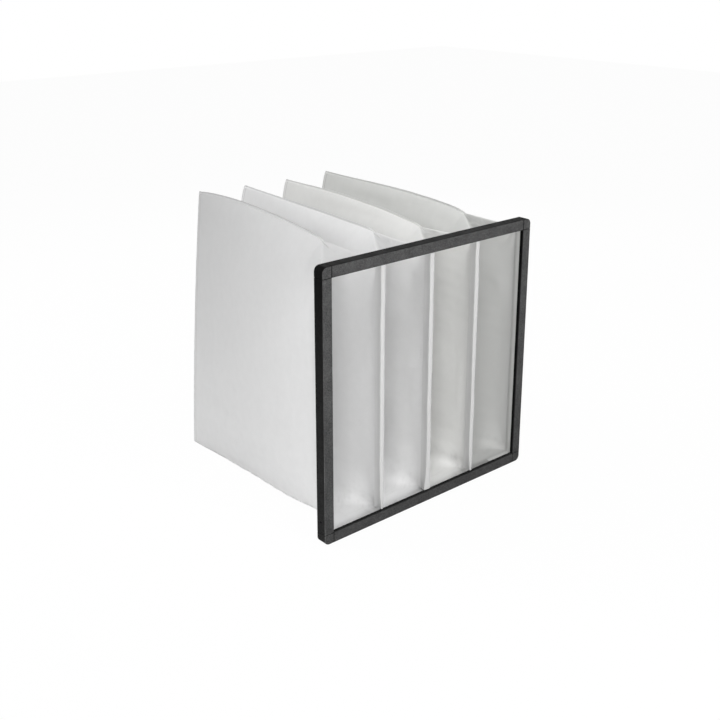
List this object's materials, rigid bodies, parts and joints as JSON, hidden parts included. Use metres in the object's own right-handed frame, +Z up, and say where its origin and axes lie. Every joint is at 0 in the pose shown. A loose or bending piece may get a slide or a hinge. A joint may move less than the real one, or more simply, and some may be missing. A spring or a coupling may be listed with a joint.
{
  "type": "bag air filter",
  "caption": "Ventilation filter with a square channel header frame and deep wedge-shaped nonwoven pockets that stand open at the frame and close in flat seams behind it.",
  "frame": {"origin": "middle of the bottom rail's underside, half way through the header's depth", "axes": "+X across the header, +Y with the air from the open mouths to the pockets' far seams, +Z up"},
  "size_m": [0.592, 0.5876, 0.6378],
  "materials": {
    "frame_plastic": "dark grey extruded plastic, satin",
    "corner_plastic": "dark grey moulded plastic, satin",
    "strip_plastic": "dark plastic strip",
    "bar_plastic": "grey plastic bar",
    "sleeve_fabric": "bright white nonwoven fabric",
    "pocket_fabric": "white nonwoven filter fabric"
  },
  "bodies": {
    "root": {"rail_top": "frame_plastic", "rail_bottom": "frame_plastic", "stile_left": "frame_plastic", "stile_right": "frame_plastic", "corner_top_left": "corner_plastic", "corner_top_right": "corner_plastic", "corner_bottom_left": "corner_plastic", "corner_bottom_right": "corner_plastic", "clamp_strip_top": "strip_plastic", "clamp_strip_bottom": "strip_plastic", "clamp_strip_left": "strip_plastic", "clamp_strip_right": "strip_plastic", "divider_bar_1": "bar_plastic", "divider_bar_2": "bar_plastic", "divider_bar_3": "bar_plastic", "divider_sleeve_1": "sleeve_fabric", "divider_sleeve_2": "sleeve_fabric", "divider_sleeve_3": "sleeve_fabric", "pocket_1_left": "pocket_fabric", "pocket_1_right": "pocket_fabric", "pocket_2_left": "pocket_fabric", "pocket_2_right": "pocket_fabric", "pocket_3_left": "pocket_fabric", "pocket_3_right": "pocket_fabric", "pocket_4_left": "pocket_fabric", "pocket_4_right": "pocket_fabric"}
  },
  "joints": []
}
